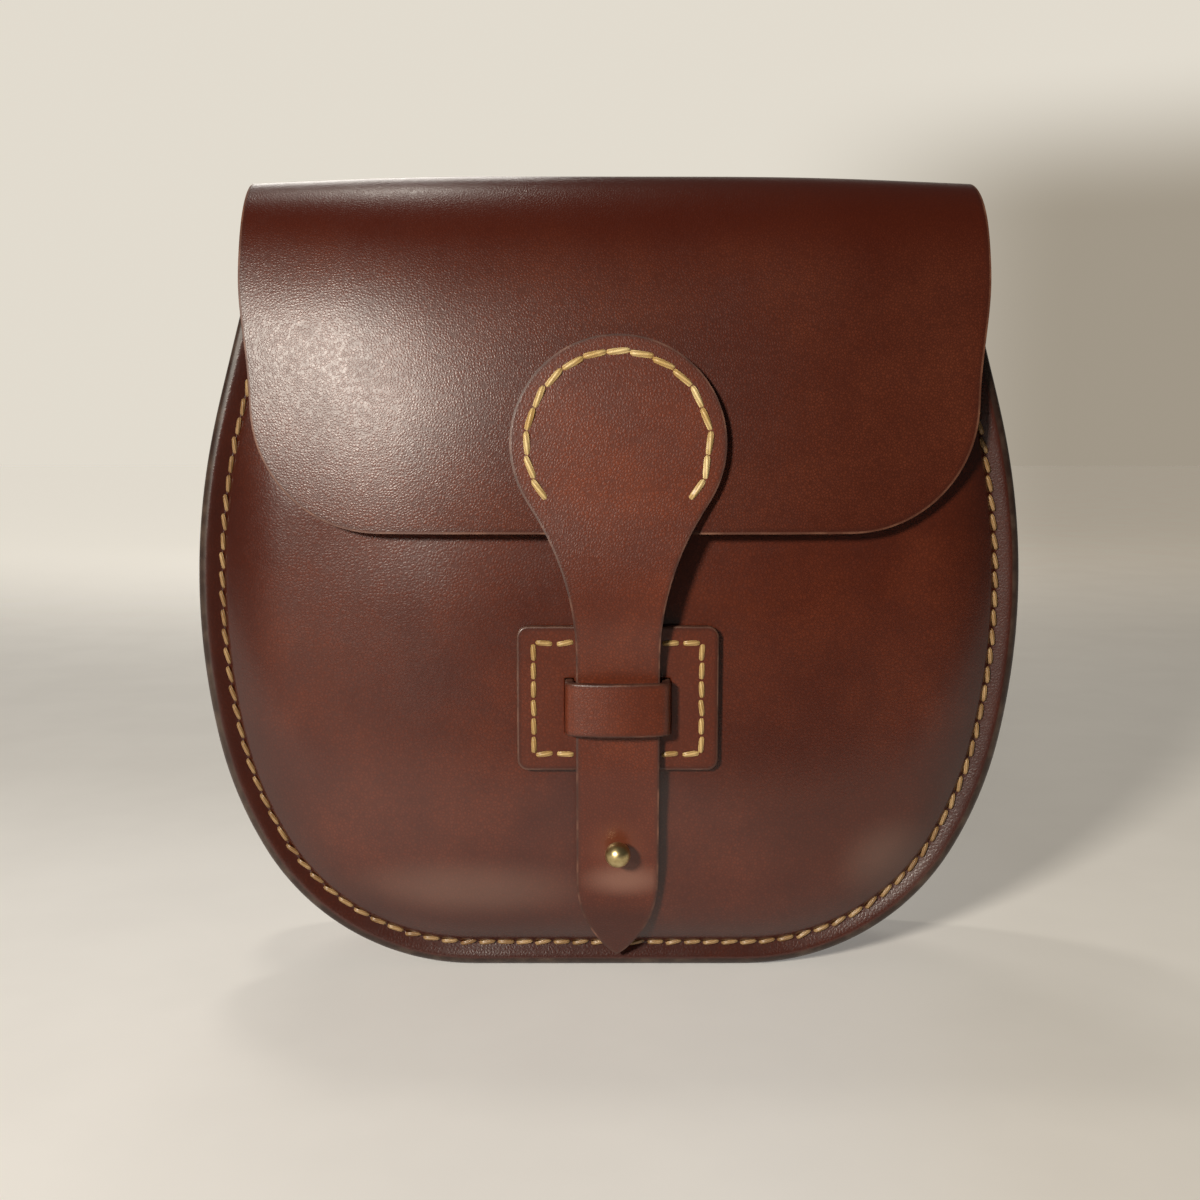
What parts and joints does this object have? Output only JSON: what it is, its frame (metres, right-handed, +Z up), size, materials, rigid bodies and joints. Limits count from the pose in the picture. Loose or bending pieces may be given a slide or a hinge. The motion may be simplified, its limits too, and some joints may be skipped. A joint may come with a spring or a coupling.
{
  "type": "leather crossbody bag",
  "caption": "Small saddle-shaped leather bag, closed: a domed body under a rolled-over flap, with a closing strap that runs through a sewn keeper loop and buttons on a ball stud.",
  "frame": {"origin": "middle of the bag's bounding box on the surface that it stands on", "axes": "+Z up, front facing -Y, +X to the right as seen from the front"},
  "size_m": [0.2396, 0.0684, 0.2347],
  "materials": {
    "panel_leather": "waxed vegetable-tanned leather with a fine pebble grain and a soft sheen",
    "strap_leather": "smoother waxed leather, a little more orange",
    "brass": "polished solid brass"
  },
  "bodies": {
    "root": {"front_panel": "panel_leather", "gusset": "panel_leather", "back_and_flap": "panel_leather", "flap_strap": "strap_leather", "keeper_patch": "panel_leather", "keeper_loop": "strap_leather", "stud": "brass"}
  },
  "joints": []
}
